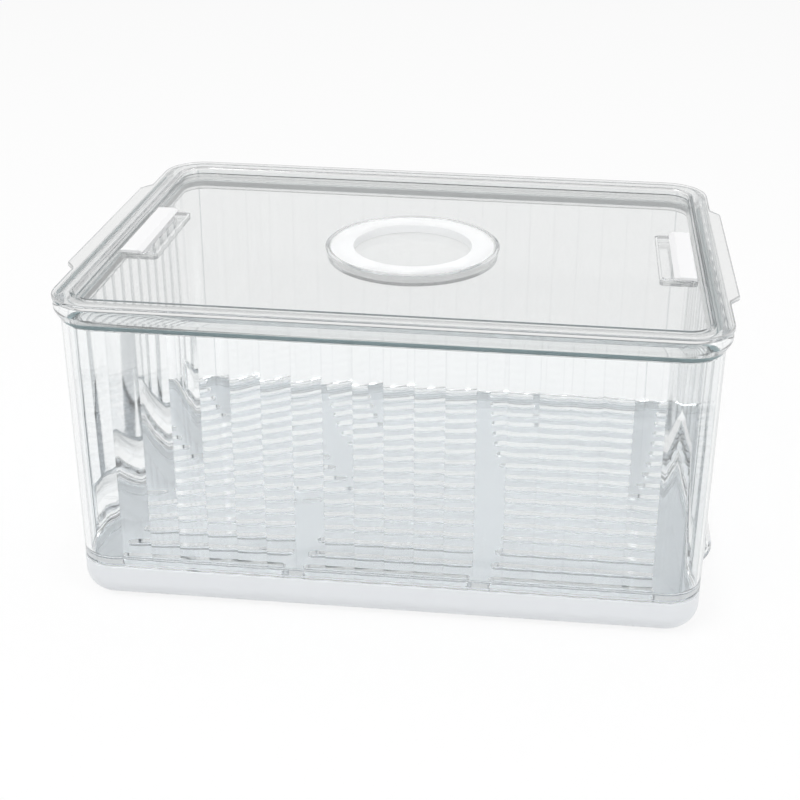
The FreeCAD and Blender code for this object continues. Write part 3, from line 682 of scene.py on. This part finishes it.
def softCopy(node, name, edge):
    copy = bmesh.new()
    copy.from_mesh(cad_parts[node].data)
    bmesh.ops.remove_doubles(copy, verts=copy.verts, dist=finishing["weld"])
    flat = math.radians(finishing["flatAngle"])
    bmesh.ops.dissolve_limit(copy, angle_limit=flat, verts=copy.verts, edges=copy.edges)
    mesh = bpy.data.meshes.new(name)
    copy.to_mesh(mesh)
    copy.free()
    piece = newObject(name, mesh)
    bevel = piece.modifiers.new("soften", "BEVEL")
    bevel.width = edge * mm
    bevel.segments = finishing["bevelSegments"]
    bevel.limit_method = "ANGLE"
    bevel.angle_limit = math.radians(finishing["bevelAngle"])
    applied(piece)
    smooth(piece, finishing["softSmooth"])
    return piece


def markInside(piece):
    # An attribute that is 1 on the faces that look towards the middle of the keeper, where the seal's
    # painted light goes.
    faces = piece.data.polygons
    layer = piece.data.attributes.new("inside", "FLOAT", "FACE")
    layer.data.foreach_set("value", [float(face.normal.xy.dot(face.center.xy) < 0) for face in faces])


for node, (name, body, slot, material, edge) in softened.items():
    piece = softCopy(node, name, edge)
    if name == "lid_seal_ring":
        markInside(piece)
    if name == "dial_band":
        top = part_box(node)[1][2]
        for corner in piece.data.vertices:
            corner.co.z = min(corner.co.z, top - bandAir * mm)
    place(piece, node, body, slot, material)
    print(name, len(piece.data.polygons), "faces")


# Floor, studio and camera

studio = {
    "floorSize": 6,
    "floorTint": (0.9, 0.9, 0.9, 1),
    "floorGlow": 0.84,
    "ambient": 0.72,
    "lampTarget": (0, 0, 0.07),
    "lowBand": [(0.0, 1.0), (0.05, 0.25), (0.18, 0.25), (0.27, 1.0)],
    "highBand": [(0.46, 1.0), (0.60, 0.66), (0.80, 0.66), (0.93, 1.0)],
}

lamps = [
    ("keyLight", (-1.1, -1.0, 1.7), (1.2, 0.9), 19),
    ("fillLight", (1.5, -0.9, 1.1), (1.0, 1.0), 12),
    ("topLight", (0.1, 0.5, 1.9), (1.4, 1.0), 5),
]

lens = {
    "yaw": -4.61,
    "pitch": 21.84,
    "roll": 1.22,
    "focalPixels": 1403.3,
    "imageSize": 800,
    "centrePixel": (464.3, 280.1),
    "place": (77.97, -645.87, 389.97),
    "sensor": 36,
    "nearest": 0.01,
}


def seenDirectly(nodes):
    path = nodes.add("ShaderNodeLightPath", output="Is Camera Ray")
    seen = path + path.output("Is Glossy Ray") + path.output("Is Transmission Ray")
    return nodes.math("MINIMUM", seen, 1.0)


def makeFloor():
    half = studio["floorSize"] / 2
    mesh = bpy.data.meshes.new("floor")
    corners = [(-half, -half, 0), (half, -half, 0), (half, half, 0), (-half, half, 0)]
    mesh.from_pydata(corners, [], [(0, 1, 2, 3)])
    floor = newObject("floor", mesh)
    material, nodes = newMaterial("studio_floor")
    lit = nodes.add("ShaderNodeBsdfDiffuse", None, {"Color": studio["floorTint"]})
    glow = nodes.add("ShaderNodeEmission", None, {"Color": (1, 1, 1, 1), "Strength": 1.0})
    share = seenDirectly(nodes) * studio["floorGlow"]
    mix = nodes.add("ShaderNodeMixShader", None, {0: share, 1: lit, 2: glow})
    nodes.add("ShaderNodeOutputMaterial", None, {"Surface": mix})
    mesh.materials.append(material)


def makeWorld():
    # White below the horizon, a dark band low in the sky and a grey one higher up.
    # Clear pieces see both bands, which draws their edges, and the camera sees plain white.
    world = bpy.data.worlds.new("studio")
    world.use_nodes = True
    bpy.context.scene.world = world
    nodes = NodeMaker(world.node_tree)
    place = nodes.add("ShaderNodeTexCoord", output="Generated")
    height = nodes.add("ShaderNodeSeparateXYZ", None, {"Vector": place}, "Z")
    bands = {"stops": studio["lowBand"] + studio["highBand"]}
    ramp = nodes.add("ShaderNodeValToRGB", bands, {"Fac": height})
    room = nodes.add("ShaderNodeBackground", None, {"Color": ramp, "Strength": studio["ambient"]})
    sweep = nodes.add("ShaderNodeBackground", None, {"Color": ramp, "Strength": 1.0})
    plain = nodes.add("ShaderNodeBackground", None, {"Color": (1, 1, 1, 1), "Strength": 1.0})
    path = nodes.add("ShaderNodeLightPath", output="Is Camera Ray")
    unscattered = nodes.math("LESS_THAN", path.output("Diffuse Depth"), 0.5)
    bent = nodes.math("MAXIMUM", path.output("Is Glossy Ray"), path.output("Is Transmission Ray"))
    through = bent * unscattered
    indirect = nodes.add("ShaderNodeMixShader", None, {0: through, 1: room, 2: sweep})
    seen = nodes.add("ShaderNodeMixShader", None, {0: path, 1: indirect, 2: plain})
    nodes.add("ShaderNodeOutputWorld", None, {"Surface": seen})


def makeLamps():
    target = Vector(studio["lampTarget"])
    for name, spot, (width, depth), power in lamps:
        light = bpy.data.lights.new(name, "AREA")
        light.shape = "RECTANGLE"
        light.size = width
        light.size_y = depth
        light.energy = power
        lamp = newObject(name, light)
        lamp.location = spot
        lamp.rotation_euler = (Vector(spot) - target).to_track_quat("Z", "Y").to_euler()


def makeCamera():
    camera = bpy.data.cameras.new("camera")
    size = lens["imageSize"]
    camera.sensor_width = lens["sensor"]
    camera.lens = lens["focalPixels"] / size * lens["sensor"]
    camera.shift_x = (size / 2 - lens["centrePixel"][0]) / size
    camera.shift_y = (lens["centrePixel"][1] - size / 2) / size
    camera.clip_start = lens["nearest"]
    eye = newObject("camera", camera)
    turn = Matrix.Rotation(math.radians(-lens["yaw"]), 4, "Z")
    tilt = Matrix.Rotation(math.radians(90 - lens["pitch"]), 4, "X")
    lean = Matrix.Rotation(math.radians(lens["roll"]), 4, "Z")
    eye.matrix_world = Matrix.Translation(Vector(lens["place"]) * mm) @ turn @ tilt @ lean
    bpy.context.scene.camera = eye


makeFloor()
makeWorld()
makeLamps()
makeCamera()
bpy.context.scene.view_settings.view_transform = "Standard"
print("studio made")
